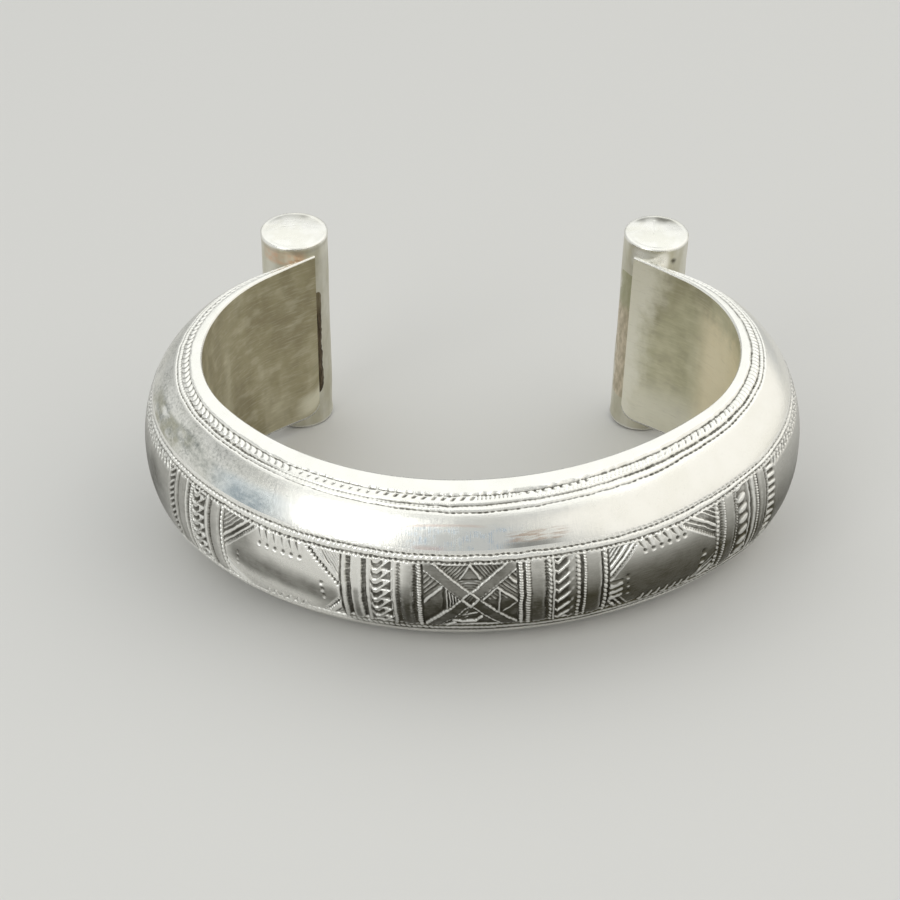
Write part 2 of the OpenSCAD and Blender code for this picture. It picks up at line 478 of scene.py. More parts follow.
# Lines in a cartouche's corner, counted from its slope: start, width and top
CORNER_LINES = {
    "left": [(0.06, 0.34, 0.02), (0.62, 0.44, 0.02), (1.34, 0.16, -0.06), (1.74, 0.14, -0.08),
             (2.12, 0.14, -0.08), (2.5, 0.14, -0.1)],
    "right": [(0.3, 0.14, -0.1), (0.72, 0.44, 0.02), (1.62, 0.2, -0.02), (2.06, 0.16, -0.04),
              (2.5, 0.14, -0.06)],
}


def cut_corner(lift, e, y, run, rise, h, style):
    """Corner of a cartouche, whose slope falls from (run, h) to (0, h - rise); e is 0 at the end."""
    length = hypot(run, rise)
    off = ((y - h) * run + (run - e) * rise) / length
    t = ((run - e) * run + (h - y) * rise) / length
    here = (t > -0.3) & (t < length + 0.3) & (y < h + 0.3)
    if style == "saw":
        saw = -0.6 * clip(1.25 - abs(off - 0.02 - 0.3 * teeth(t / 0.5)) / 0.2, 0, 1)
        lift = where(here & (off > -0.2) & (off < 0.45), minimum(lift, saw), lift)
        bar = 0.02 - 0.12 * abs((off - 0.71) / 0.29) ** 3
        lift = where(here & (off > 0.42) & (off < 1), bar, lift)
        fine = -0.24 + 0.17 * (1 + hatch(e, y, np.arctan2(-rise * 1.35, -run), 0.3))
        return where(here & (off >= 1), fine, lift)
    dots = -0.26 * bell(off + 0.08, 0.1) * (0.3 + 0.7 * beads(t / 0.42, 0.24))
    lift = where(here & (off > -0.4) & (off < 0.06), lift + dots, lift)
    lift = where(here & (off > -0.7) & (off < -0.1), lift + 0.06 * bell(off + 0.34, 0.1), lift)
    ground = here & (off >= 0)
    lift = where(ground, -0.3, lift)
    for start, wide, top in CORNER_LINES[style]:
        crest = arch(2 * (off - start) / wide - 1)
        lift = where(ground & (crest > 0), maximum(lift, -0.3 + (top + 0.3) * crest), lift)
    return lift


def cartouche(x, q, wide, h, corners, wedges, dots):
    """Long six-sided field with cut corners, wedges along each long side and a row of punches.
    Wedges are (first, last, how many, lean), dots the same without the lean."""
    lift = -0.03 - 0.05 * ((x / wide - 0.5) * 2) ** 2 + 0.012 * swells(x * 0.6, q * 0.8, 5)
    for side, squeeze in ((1, 1), (-1, 0.62)):
        y = q * side
        first, last, count, lean = wedges
        for k in range(count):
            c = first + (last - first) * k / (count - 1) + 0.06 * sin(5 * k)
            top, tip = h + 0.05, h - 1.3 * squeeze
            lift = rib(lift, x, y, (c + 0.5, top), (c + 0.42 + lean, tip), 0.7, 0.1, 0.45)
            lift = cut(lift, x, y, (c + 0.02, top), (c + 0.1 + lean, tip + 0.25), 0.52, 0.3, 0.3)
        first, last, count = dots
        for k in range(count if side > 0 else 0):
            lift = punch(lift, x, y, (first + (last - first) * k / (count - 1), 2.55), 0.44, 0.28)
        for near, (run, rise, style) in zip((True, False), corners):
            lift = cut_corner(lift, x if near else wide - x, y, run * squeeze, rise * squeeze, h, style)
    return lift


def right_cartouche(x, q, wide, h):
    corners = (3.4, 4, "left"), (4.7, 3.9, "right")
    lift = cartouche(x, q, wide, h, corners, (3.3, 9.2, 7, 0.5), (4.1, 9, 6))
    for k in range(3):
        level = -0.85 - 0.74 * k
        lift = cut(lift, x, q, (0, level + 0.32), (1.5, level + 0.5), 0.4, 0.28, 0.7)
        lift = rib(lift, x, q, (0.15, level - 0.14), (1.35, level + 0.14), 0.46, 0.06, 0.9)
        lift = punch(lift, x, q, (2.08 + 0.06 * k, -0.1 - 0.95 * k), 0.4, 0.2)
        lift = punch(lift, x, q, (wide - 1.55 - 0.1 * k, -0.8 - 0.9 * k), 0.56, 0.26)
    return cut(lift, x, q, (0, -3.2), (1.5, -3.3), 0.4, 0.28, 0.7)


def left_cartouche(x, q, wide, h):
    corners = (4.7, 4.6, "left"), (4.1, 4.4, "saw")
    lift = cartouche(x, q, wide, h, corners, (5, 9.9, 6, 0.3), (5.3, 10.5, 6))
    for k in range(3):
        lift = punch(lift, x, q, (2 - 0.1 * k, -0.75 * k), 0.36, 0.18)
        lift = punch(lift, x, q, (wide - 2.1 + 0.05 * k, -0.05 - 0.85 * k), 0.48, 0.24)
    return lift


def crossed_panel(x, q, wide, h):
    """Two crossed bars with raised edges and a small diamond over sunk sectors, each with a raised
    figure in it."""
    x, y = x - 0.5 * wide, q + 0.2
    top = h + 0.2
    slope = np.arctan2(4.5, 4.9)
    upper = abs(y) * 4.9 > abs(x) * 4.5
    lift = np.full(np.broadcast(x, y).shape, -0.32)
    for sector, angle, pitch in [
        (upper & (y > 0) & (x < 0), 0.8, 0.32), (upper & (y > 0) & (x >= 0), -0.95, 0.34),
        (~upper & (x < 0) & (y > -0.3), 0.76, 0.46), (~upper & (x >= 0) & (y > -0.1), -0.78, 0.4),
        (upper & (y < 0) & (x < -0.3), 0.6, 0.52),
    ]:
        lift = where(sector, -0.16 + 0.2 * hatch(x, y, angle, pitch), lift)
    # upper sector: a triangle over a dark line and arcs
    down = (top - 0.05 - y) / 1.85
    lift = where((down < 1) & (x > -1.15 * down) & (x < 1.05 * down), -0.22, lift)
    lift = ribs(lift, x, y, [
        (-1.1, top - 1.85, 0, top - 0.2, 0.22, 0), (1.05, top - 1.9, 0, top - 0.2, 0.3, 0.04)])
    below = (y > 0) & (y < top - 1.9) & (abs(x) < 0.98 * y - 0.35)
    arcs_apart = hypot(x + 0.1, (y - 0.4) * 1.15) / 0.36
    lift = where(below, -0.15 - 0.14 * teeth(arcs_apart), lift)
    lift = where((abs(y - top + 2.02) < 0.1) & (abs(x) < 1.2), -0.38, lift)
    # lower sector: a thick bowed line between two short ones
    lift = ribs(lift, x, y, [
        (-2.3, -2.75, -1, -3.15, 0.34, 0.03), (-1, -3.15, 0.5, -3.1, 0.38, 0.04),
        (0.5, -3.1, 1.15, -2.5, 0.3, 0.02), (-0.9, -2.2, 0.7, -1.9, 0.16, -0.14),
        (-2.6, -3.95, -1.7, -3.4, 0.3, 0.02)])
    # left sector: upright strokes, a dark upright line and a thick chevron
    lift = where(~upper & (x > -2.85) & (x < 0), -0.29, lift)
    far = ~upper & (x < -2.9) & (y < x + 4.3) & (y > -1.05 * (x + 4.5))
    lift = rib(where(far, -0.27, lift), x, y, (-4.85, -0.3), (-2.95, 1.6), 0.4, 0.05)
    lift = where((abs(x + 2.82) < 0.08) & (abs(y) < 1.9), -0.4, lift)
    lift = ribs(lift, x, y, [(at, foot, at - 0.12, head, 0.22, 0.04) for at, foot, head in (
        (-2.4, -1.4, 1.7), (-2.08, -1.1, 1.6), (-1.78, -0.9, 1.5), (-1.48, -0.7, 1.2), (-1.2, -0.5, 0.8))])
    # right sector: a raised chevron and an upright line
    lift = ribs(lift, x, y, [
        (2.85, 1.5, 4.95, -0.5, 0.32, 0.05), (2.85, 1.5, 1.25, -0.15, 0.26, 0.02),
        (3.1, 1.2, 2.95, -2.2, 0.24, 0.03), (3.2, -2, 4.9, -0.7, 0.16, -0.16),
        (4, 2.8, 4.8, 2, 0.3, 0.04)])
    # crossed bars
    for rising in (1, -1):
        off = y * cos(slope) - rising * x * sin(slope)
        along = (x * cos(slope) + rising * y * sin(slope)) / 0.46
        along = along + 0.4 * swells(along, 0 * along, 9)
        strong = where(off > 0, 0.75 if rising < 0 else where(x < 0, 1.3, 1), where(x > 0, 0.5, 0.25))
        edge = -0.09 + 0.14 * strong - 0.07 * beads(along, 0.2)
        lift = where(abs(off) < 0.62, -0.12 + 0.012 * swells(x * 2.4, y * 2.4, 8), lift)
        crest = arch((abs(off) - 0.62) / (0.1 + 0.09 * strong))
        lift = where(crest > 0, -0.3 + (edge + 0.3) * crest, lift)
    flat = 1.02 - (abs(x) + abs(y) * 0.93)
    diamond = where(flat < 0.28, 0.06, -0.18 + 0.14 * hatch(x, y, 0.9, 0.3))
    return where(flat > 0, diamond, lift)


# What is cut in each column of the middle band, from the left, and where it ends along the band
COLUMNS = [
    (leaning_gouges, -36.2), (thin_rib, -35.6), (plain_bar, -34.2), (thin_rib, -33.8),
    (beaded_groove, -33.35), (fine_beads, -32.8), (zigzag, -30.45), (thin_rib, -29.95),
    (beaded_groove, -29.55), (plain_bar, -28.15), (groove, -27.9), (beaded_rib, -27.5), (groove, -27.3),
    (left_cartouche, -12.1), (groove, -11.85), (thin_rib, -11.35), (deep_groove, -10.8), (plain_bar, -9.6),
    (deep_groove, -9.05), (thin_rib, -8.55), (zigzag, -6.15), (thin_rib, -5.75), (beaded_groove, -5.25),
    (plain_bar, -3.95), (beaded_groove, -3.5), (fine_beads, -3), (groove, -2.8), (crossed_panel, 7),
    (groove, 7.15), (fine_beads, 7.65), (groove, 7.85), (fine_beads, 8.5), (plain_bar, 9.95),
    (beaded_groove, 10.35), (beaded_rib, 10.75), (thin_rib, 11.05), (gouges, 13.25), (beaded_rib, 13.8),
    (groove, 14.12), (fine_beads, 14.45), (plain_bar, 16.1), (groove, 16.35), (beaded_rib, 16.8),
    (groove, 17), (right_cartouche, 30.2), (beaded_rib, 30.7), (beaded_groove, 31.35),
    (fine_beads, 31.65), (plain_bar, 33), (beaded_groove, 33.5), (blobs, 35.45), (groove, 35.8),
    (plain_bar, 36.4), (fine_beads, 36.9), (groove, 37.1), (plain_bar, 38.2), (beaded_groove, 38.6),
    (level_gouges, 40.2),
]
ENGRAVED = (-37.4, COLUMNS[-1][1])


def level(s, q):
    """Place across the band as if both borders were equally far out."""
    h, low = line("panel", s[:1]), drop_at(s[:1])
    return where(q > 0, q, where(q > -h - low, q * h / (h + low), q + low))


def band_relief(s, q):
    """Relief of the middle band between the two domes."""
    h, bead, foot = (line(k, s[:1]) for k in ("panel", "bead", "dome_foot"))
    q = level(s, q)
    margin = foot - abs(q)
    lift = -0.03 + 0.015 * swells(s * 0.5, q * 0.6, 11)
    # no hand-cut line is quite straight
    held = smooth(margin / 0.5)
    side_sway = 0.06 * swells(s * 0.8, q * 0.7, 12) + 0.035 * swells(s * 2.6, q * 2.6, 13) * held
    sway = 0.06 * swells(s * 0.7, q * 0.8, 14) + 0.035 * swells(s * 2.6, q * 2.6, 15)
    s, q = s + side_sway, q + sway * held
    y = abs(q)
    start = ENGRAVED[0]
    for shape, end in COLUMNS:
        cols = np.nonzero((s.max(0) >= start) & (s.min(0) < end))[0]
        if len(cols):
            k = slice(cols[0], cols[-1] + 1)
            within = (s[:, k] >= start) & (s[:, k] < end)
            cuts = shape(s[:, k] - start, q[:, k], end - start, h[:, k] - 0.16)
            lift[:, k] = where(within, cuts, lift[:, k])
        start = end
    # beyond the columns: a narrow strip of short strokes under the border
    room = h - y
    strokes = -0.3 * smooth((1.35 - room) / 0.5) * dashes((s + 0.45 * room * sign(s)) / 0.76, 0.36, 0.16)
    plain = (s < ENGRAVED[0]) | (s >= ENGRAVED[1])
    lift = where(plain, lift + strokes, lift)
    # the columns' ends stand up under the border, over a row of small punches
    lift = where((room > 0) & (room < 0.42), maximum(lift, -0.1 - 0.15 * abs(room - 0.26)), lift)
    lift -= 0.2 * bell(room - 0.12, 0.09) * dashes(s / 0.55, 0.3, 0.1)
    # the border: a round bead with slanting nicks on the left, between dashed lines
    x = (y - h) / (bead - h)
    body = 0.02 - 0.16 * (1 - arch(2 * x - 1))
    nick = 0.09 * beads((s - 0.5 * (y - h)) / 0.62, 0.17) * (0.2 + 0.8 * smooth((2 - s) / 8))
    lift = where((x > 0) & (x < 1), body - nick, where(x >= 1, 0, lift))
    dash = 0.3 + 0.7 * dashes((s + 0.6 * (y - bead)) / 0.66, 0.36, 0.12)
    lift -= 0.24 * bell(y - h, 0.1) * (0.55 + 0.45 * dash)
    lift -= 0.26 * bell(y - bead, 0.09) * dash
    lift -= 0.2 * window(s, 19, 36, 4) * bell(y - bead - 0.27, 0.08) * (dash - 0.3)
    lift += 0.01 * swells(s * 6, q * 6, 16)
    return lift * smooth(margin / 0.1 + 0.001)


def band_patina_and_shade(s, q, room):
    """How dark the ground is, partly the band's own dark patina but mostly painted shade and light:
    bright at the front's left, as painted light from the front-left, but for a drift and its foot, then
    dark, and painted darker towards the bottom and at the left end, as dark reflections.
    """
    off = q + 1.05 + 0.1 * (s + 21) + 0.3 * swells(s * 0.5, q * 0.3, 17)
    reach = where(off > 0, maximum(3.1 - 0.13 * (s + 20), 0.5), 2)
    drift = (1 - smooth((abs(off) / reach - 0.15) / 0.85)) * window(s, -26.5, -12, 2)
    corners = 0.62 * spot(s, q, (-25, 2.4), (2.4, 2)) + 0.6 * spot(s, q, (-13.2, -4.2), (1.8, 1.5))
    # painted light: kept light at the front's left, but for a darker drift and corners, and darker further
    # left
    left = 0.04 + 0.7 * drift + corners * (1 - drift) + 0.5 * smooth((-26 - s) / 4)
    # painted shade: darker at the band's left end, as a dark reflection
    left = left + 0.42 * smooth((-36.5 - s) / 6) * smooth((5 - q) / 4)
    # painted shade: darker towards the bottom
    foot = smooth((0.6 - q) / 0.9) * (0.62 + 0.22 * smooth((-1 - q) / 3))
    left = maximum(left, foot * window(s, -12.2, -9.3, 0.4))
    foot = smooth((2.4 - q) / 2.8) * (0.6 + 0.25 * smooth((0.5 - q) / 4))
    left = maximum(left, foot * window(s, -9.3, 0, 0.4))
    turn = smooth((s + 6.4 - 0.3 * q) / 2.4)
    # right of the front: dark, and painted darker towards the bottom
    panel = 0.8 + 0.2 * smooth((1.2 - q) / 3)
    after, end = 0.76 - 0.112 * (q - 0.4), 0.78 - 0.09 * (q - 0.4)
    long_panel = 1 - 0.17 * np.exp(minimum(q - 0.4, 4) / 1.6)
    after = after + (long_panel - after) * window(s, 18.6, 29, 1.2)
    right = panel + (after - panel) * smooth((s - 6) / 2)
    right = right + (end - right) * smooth((s - 31) / 3)
    below = where(q < 0, smooth((s + 12.5) / 1.5), 0)
    fade = 1 - 0.45 * smooth((abs(s) - 50) / 14)
    dark = clip((1 - turn) * left + turn * right, 0, 1)
    return dark * fade * smooth((room + 0.05 + 1.15 * below) / 0.35)


def middle_band(name, s0, s1, step, rows):
    s = stations(int(round((s1 - s0) / step)) + 1, s0, s1)
    foot = line("dome_foot", s)
    q = foot - (2 * foot + drop_at(s)) * linspace(0, 1, rows)[:, None]
    grid = s + 0 * q
    lift = band_relief(grid, q)
    dirt_and_shade, worn_and_highlight = wear_and_highlight_of(lift, max(2, int(0.42 / step)), 0.12)
    # tone: the band's patina and painted shade
    tone = band_patina_and_shade(grid, q, line("panel", s) - abs(level(grid, q)))
    points = face_point(heading_at(s)[None], shares_of(s, q), lift)
    grid_piece(name, points, SILVER_CUT, (grid, q), dirt_and_shade, worn_and_highlight, tone)


# Nicks of the rope border along the band. Lean and bow go to the right, top and foot are shares of
# the border's width, and wide is a share of the pitch.
ROPE_NICKS = [
    # from, to, pitch, lean, bow, top, foot, wide, taper, depth
    (-90, -28, 1.1, 0.2, 0.62, 0.02, 0.98, 0.18, 0.2, 0.13),
    (-28, -20, 1.1, 0.2, 0.45, -0.1, 0.8, 0.18, 0.3, 0.12),
    (-20, -9, 1.15, -0.5, 0, 0.3, 0.72, 0.17, 0.3, 0.12),
    (-9, 3.4, 1.15, -0.62, -0.1, 0.16, 0.6, 0.17, -0.7, 0.3),
    (3, 8, 0.5, -0.15, 0, -0.1, 0.62, 0.24, 0.8, 0.16),
    (8, 17, 1.05, 0.25, 0.1, -0.1, 0.5, 0.3, 1, 0.2),
    (10, 36, 0.54, -0.5, 0, 0, 0.9, 0.18, 0.3, 0.1),
    (24, 40, 1.04, -0.8, 0.05, 0, 0.7, 0.15, 0.6, 0.12),
    (36, 90, 0.8, -0.3, 0, 0, 1, 0.16, 0, 0.07),
]
# How deep the lines beside the rope and the ridge are cut along the band, as (s, depth) pairs
LINE_DEPTH = {
    "rim": [(-60, 0.06), (-40, 0.08), (-34, 0.18), (-20, 0.18), (-12, 0.14), (-8, 0.26), (1, 0.26),
            (15, 0.22), (17, 0.38), (36, 0.38), (44, 0.2)],
    "rope": [(-60, 0.08), (-42, 0.08), (-38, 0.24), (-26, 0.24), (-22, 0.05), (-9, 0.06), (-7, 0.18),
             (8, 0.14), (20, 0.15), (24, 0.34), (43, 0.32), (48, 0.14)],
    "ridge": [(-60, 0.08), (-40, 0.16), (-24, 0.12), (-20, 0.05), (-9, 0.08), (-6, 0.16), (4, 0.22),
              (10, 0.12), (20, 0.14), (26, 0.34), (38, 0.32), (44, 0.14)],
}


def rim_relief(s, q, edge):
    """Relief of the rope of nicks and the thin ridge with its dots."""
    rim, rope, ridge = (line(k, s[:1]) for k in ("rim", "rope", "ridge"))
    lift = 0.008 * swells(s * 0.5 + 7, q * 0.6, 21)
    held = smooth((edge - q) / 0.6) * smooth((q - line("dome_top", s[:1])) / 0.3)
    q = q + 0.05 * swells(s * 0.8, q * 0.5, 22) * held
    x = (rim - q) / (rim - rope)
    body = -0.12 * (1 - arch(2 * x - 1))
    nick = 0
    for start, end, pitch, lean, bow, top, foot, wide, taper, depth in ROPE_NICKS:
        sway = lean * (x - 0.08 * sin(2 * pi * x)) + bow * sin(pi * clip(x, 0, 1))
        at = (s - sway + 0.06 * swells(s * 0.9, q, 23)) / pitch
        deep = depth * beads(at, wide * clip(1 - taper * x, 0.05, 1))
        deep = deep * smooth((x - top) / 0.08) * smooth((foot - x) / 0.12)
        nick = nick + deep * window(s, start, end, 0.6)
    lift = where((x > 0) & (x < 1), body - nick, lift)
    w = (rope - q) / (rope - ridge)
    dots = 0.08 * beads(s / 0.56, 0.2) * bell(w - 0.25, 0.2)
    lift = where((w >= 0) & (w < 1), -0.1 * abs(2 * w - 1) ** 2 - dots, lift)
    depth = {k: interp(s, *zip(*pairs)) for k, pairs in LINE_DEPTH.items()}
    dash = 0.4 + 0.6 * dashes(s / 0.74, 0.38, 0.14)
    uneven = 0.75 + 0.35 * swells(s * 1.7, q * 0.5, 25)
    long_dash = 1 - 0.6 * window(s, -20, 8, 0.6) * dashes(s / 1.15 + 0.34, 0.16, 0.1)
    rim_wide = 0.12 + 0.08 * window(s, -12, 42, 4)
    rope_wide = 0.1 + 0.06 * (window(s, -39, -27, 2) + window(s, 21, 40, 3))
    lift -= depth["rim"] * bell(q - rim, rim_wide) * long_dash * uneven
    lift -= depth["rope"] * bell(q - rope, rope_wide) * (0.6 + 0.4 * dash) * uneven
    lift -= 0.1 * window(s, -9, -1, 1) * bell(q - rope + 0.24, 0.07)
    lift -= depth["ridge"] * bell(q - ridge, 0.09) * dash * uneven
    return lift * smooth((edge - q) / 0.5)


def rim_border(name, up, columns=1350, fine=40):
    """Plain rim, rope border and ridge, down to the top of the dome."""
    s = stations(columns)
    a = heading_at(s)[None]
    edge, rim_top, dome_top = (line(k, s) for k in ("edge", "rim_top", "dome_top"))
    q = rim_top + (dome_top - rim_top) * linspace(0, 1, fine)[:, None]
    grid = s + 0 * q
    lift = rim_relief(grid, q, edge) * smooth((q - dome_top) / 0.1 + 0.001)
    lift = lift * smooth(thickness(abs(a)) / 4.5)
    dirt_and_shade, worn_and_highlight = wear_and_highlight_of(lift, 4, 0.1)
    u = shares_of(s, q)
    # the plain rim, from the eased inner edge to the first line
    k = np.array([0, 0.01, 0.03, 0.07, 0.14, 0.25, 0.4, 0.57, 0.76])[:, None]
    plain = face_point(a, (0.9999 + (u[:1] - 0.9999) * k) * up)
    start = place(a, 0 * a, up * (half_height(abs(a)) - RIM_EASE))
    points = concatenate([start, plain, face_point(a, u * up, lift)])
    above = edge + (rim_top - edge) * concatenate([[[0]], k])
    rows = (s + 0 * above, grid), (above * up, q * up), (0 * above, dirt_and_shade), (0 * above, worn_and_highlight)
    along, across, dirt_and_shade, worn_and_highlight = (concatenate(pair) for pair in rows)
    grid_piece(name, points, SILVER_RIM, (along, across), dirt_and_shade, worn_and_highlight, flip=up < 0)


def dome(name, up, columns=520, rows=32):
    s = stations(columns)
    outer, inner = line("dome_top", s), line("dome_foot", s) + (drop_at(s) if up < 0 else 0)
    q = outer + (inner - outer) * linspace(0, 1, rows)[:, None]
    grid = s + 0 * q
    edge = minimum(outer - q, q - inner)
    lift = 0.022 * (swells(grid * 0.14 + 3, q * 0.2, 31) - 1) * smooth(edge / 1.6)
    points = face_point(heading_at(s)[None], shares_of(s, q * up), lift)
    grid_piece(name, points, SILVER_DOME, (grid, q * up), flip=up < 0)


def inner_wall(columns=360, rows=36):
    """Flat wall against the wrist, a little uneven from hammering."""
    s = stations(columns)
    a = heading_at(s)[None]
    z = linspace(1, -1, rows)[:, None] * (half_height(abs(a)) - RIM_EASE)
    edge = minimum(half_height(abs(a)) - RIM_EASE - abs(z), REACH - 9 - abs(s))
    out = 0.04 * (1 + swells(s * 0.16 + 5, z * 0.2, 41)) * smooth(edge / 2.5)
    grid_piece("inner_wall", place(a, out, z), SILVER_WALL, (s, z), flip=True)


def plate_end(side):
    a = np.full((41, 1), side * END_TURN)
    u = linspace(0.9999, -0.9999, 41)[:, None]
    h = half_height(abs(a))
    inner = place(a, 0 * a, clip(u * h, RIM_EASE - h, h - RIM_EASE))
    points = concatenate([inner, face_point(a, u)], 1)
    strip = side * REACH + np.array([[0, END_THICK]]), u * h
    grid_piece(f"plate_end_{SIDE_NAME[side]}", points, SILVER_WALL, strip, 0.4, flip=side < 0)


def cylinder(side, around=132):
    """Soldered end cylinder: slightly uneven wall, eased edges and domed, dented caps."""
    r, e = CYL_R[side], CYL_EASE
    arc, inward = linspace(0, pi / 2, 7), r - CYL_EASE
    cap_r = linspace(0.02, inward, 36)
    cap_z = CAP_Z + CYL_DOME * (1 - (cap_r / inward) ** 2)
    wall_z = linspace(CAP_Z - e, e - CAP_Z, 56)[1:-1]
    profile_r = [cap_r, inward + e * sin(arc[1:]), 0 * wall_z + r, inward + e * cos(arc), cap_r[::-1][1:]]
    profile_z = [cap_z, CAP_Z - e + e * cos(arc[1:]), wall_z, e - CAP_Z - e * sin(arc), -cap_z[::-1][1:]]
    pr, pz = (concatenate(p)[:, None] for p in (profile_r, profile_z))
    angle = linspace(0, 2 * pi, around, endpoint=False)[None]
    x, y = pr * cos(angle), pr * sin(angle)
    front = y < 0
    on_cap = smooth((inward - pr) / 0.4)
    wobble = swells(angle * 8 / (2 * pi), pz * 0.25, 51 + side)
    pr = pr - (0.03 + 0.04 * (1 + wobble)) * smooth(CAP_Z - abs(pz))
    if side < 0:
        # painted shade on the back of the cap, dark along its dent, and a painted shadow under the cap's
        # front edge, over exposed copper
        mark = cut(0 * x, x, y, (-1.6, 0.4), (0.6, 0.9), 0.24, 0.03, 0.5)
        cap_shade = 0.5 * bell(hypot(x - 0.9, (y - 3.1) * 1.2), 0.8) + 0.45 * smooth((y - 0.8 * x - 2.6) / 2)
        dirt_and_shade = on_cap * (clip(-mark * 7, 0, 0.5) + cap_shade) + 0.3 * window(pz, 12.5, 13.1, 0.3) * front
        copper, worn_and_highlight = window(x, -3.2, 1.6, 1.2) * window(pz, 11, 12.7, 0.5) * front, 0
        shade = 0.26
    else:
        # painted shade on the back of the cap, lighter over its dent, a dark spot on the front of the wall,
        # and a lighter front wall
        mark = cut(0 * x, x, y, (-0.2, 2.2), (-0.4, -0.6), 0.3, 0.07, 0.5)
        bright_spot = 0.9 * bell(hypot(x + 0.55, (y - 2) / 1.5), 0.7)
        cap_shade = smooth((y - 0.3 - 0.3 * abs(x)) / 2.2) * (1 - bright_spot)
        dirt_and_shade = maximum(on_cap * 0.7 * cap_shade, bell(hypot(x - 2, pz - 11.6), 0.35) * front)
        bright = window(pz, 10.5, 13.2, 2) * window(x, -2.9, 1.5, 1.4) * smooth(-y / 1.5)
        copper, worn_and_highlight = 0, 0.8 * bright
        shade = 0.2
    # painted shade on the wall beside the plate
    shade_beside_plate = smooth((-side * x - 1.2) / 1.6) * smooth((1.5 - y) / 1.5) * window(pz, -12.5, 11.5, 1.5)
    dirt_and_shade = dirt_and_shade + shade * shade_beside_plate
    dent = -0.04 * (1 + swells(x * 0.5 + 9, y * 0.5 + 9, 61 + side))
    points = cyl_point(side, angle, pr, pz + sign(pz) * (mark + dent) * on_cap)
    strip = x, y, pz + 0 * x
    grid_piece(f"cylinder_{SIDE_NAME[side]}", points, SILVER_CYL, strip, dirt_and_shade, worn_and_highlight, copper, wrap=True)


def solder_seam(side, top, foot, wide, swell, material, count=190, around=14):
    """Uneven strip of solder in the nook between a plate's end and the cylinder."""
    z = linspace(top, foot, count)[:, None]
    t = linspace(0, 1, around)[None]
    r = CYL_R[side]
    own = 0 * z + side + 3
    ragged = 1 + 0.14 * swells(z * 0.7, own, 71) + 0.08 * swells(z * 2.4, own, 72)
    from_wall = asin(CYL_BACK / r) - 0.03 + wide / r * ragged * t
    angle = END_TURN - 1.5 * pi - from_wall if side > 0 else pi / 2 - END_TURN + from_wall
    taper = smooth((top - z) / 1.8) * smooth((z - foot) / 1.8)
    swell = swell * sin(pi * t) * (0.75 + 0.25 * swells(z * 0.9, 2 * t, 73)) * taper
    points = cyl_point(side, angle, r - 0.15 * t ** 3 - 0.12 * (1 - taper) + swell, z)
    strip = 4 * t + 0 * z, z + 0 * t
    grid_piece(f"solder_seam_{SIDE_NAME[side]}", points, material, strip, flip=side < 0)


# Materials
class Nodes:
    """Adds nodes to a material and links them by socket name or number."""

    def __init__(self, name):
        self.material = bpy.data.materials.new(name)
        self.material.use_nodes = True
        self.tree = self.material.node_tree
        self.shader = self.tree.nodes["Principled BSDF"]

    def put(self, socket, value):
        if isinstance(value, bpy.types.NodeSocket):
            self.tree.links.new(value, socket)
        else:
            socket.default_value = (*value, 1) if socket.type == "RGBA" else value

    def node(self, kind, settings=None, **inputs):
        node = self.tree.nodes.new("ShaderNode" + kind)
        for key, value in (settings or {}).items():
            setattr(node, key, value)
        for key, value in inputs.items():
            self.put(node.inputs[int(key[1:]) if key[1:].isdigit() else key.replace("_", " ")], value)
        return node

    def math(self, operation, *values, clamp=False):
        inputs = {f"i{k}": v for k, v in enumerate(values)}
        return self.node("Math", {"operation": operation, "use_clamp": clamp}, **inputs).outputs[0]

    def times(self, *values):
        return reduce(lambda a, b: self.math("MULTIPLY", a, b), values)

    def plus(self, *values, clamp=False):
        return reduce(lambda a, b: self.math("ADD", a, b, clamp=clamp), values)

    def parts(self, vector):
        return self.node("SeparateXYZ", i0=vector).outputs[:3]

    def vector(self, name):
        return self.node("Attribute", {"attribute_name": name}).outputs[1]

    def noise(self, vector, scale, detail=4, roughness=0.55, turn=0):
        """Noise whose scale is one number, or one for each way of a turned grid."""
        if isinstance(scale, tuple):
            scales = (*scale, 1)[:3]
            vector = self.node("Mapping", Vector=vector, Scale=scales, Rotation=(0, 0, turn)).outputs[0]
            scale = 1
        node = self.node("TexNoise", Vector=vector, Scale=scale, Detail=detail, Roughness=roughness)
        return node.outputs[0]

    def between(self, value, low, high, to_low=0, to_high=1):
        names = {"Value": value, "From_Min": low, "From_Max": high, "To_Min": to_low, "To_Max": to_high}
        return self.node("MapRange", {"interpolation_type": "SMOOTHSTEP"}, **names).outputs[0]

    def span(self, value, start, full, end, gone):
        """Rises from start to full, falls from end to gone."""
        return self.times(self.between(value, start, full), self.between(value, gone, end))

    def patch(self, s, q, along, across):
        """1 on a part of the band, fading out at its four sides."""
        return self.times(self.span(s, *along), self.span(q, *across))

    def blot(self, s, q, centre, size):
        """Soft round stain: 1 at its centre, 0 at `size` from it."""
        near = [self.math("DIVIDE", self.plus(v, -c), w) for v, c, w in zip((s, q), centre, size)]
        return self.between(self.plus(*[self.times(v, v) for v in near]), 1, 0.1)

    def over(self, colour, paint, *strength):
        """The colour under a paint as strong as the product of the numbers given."""
        factor = self.times(*strength)
        return self.node("Mix", {"data_type": "RGBA"}, i0=factor, i6=colour, i7=paint).outputs[2]

    def bump(self, height, strength, distance, **normal):
        return self.node("Bump", Strength=strength, Distance=distance, Height=height, **normal).outputs[0]

    def finish(self, **inputs):
        for key, value in inputs.items():
            self.put(self.shader.inputs[key.replace("_", " ")], value)
        return self.material


# the last is bright silver for rubbed metal and painted highlights
WHITE_SILVER, WARM_SILVER, BRIGHT_SILVER = (0.93, 0.92, 0.88), (0.8, 0.785, 0.7), (0.97, 0.965, 0.93)
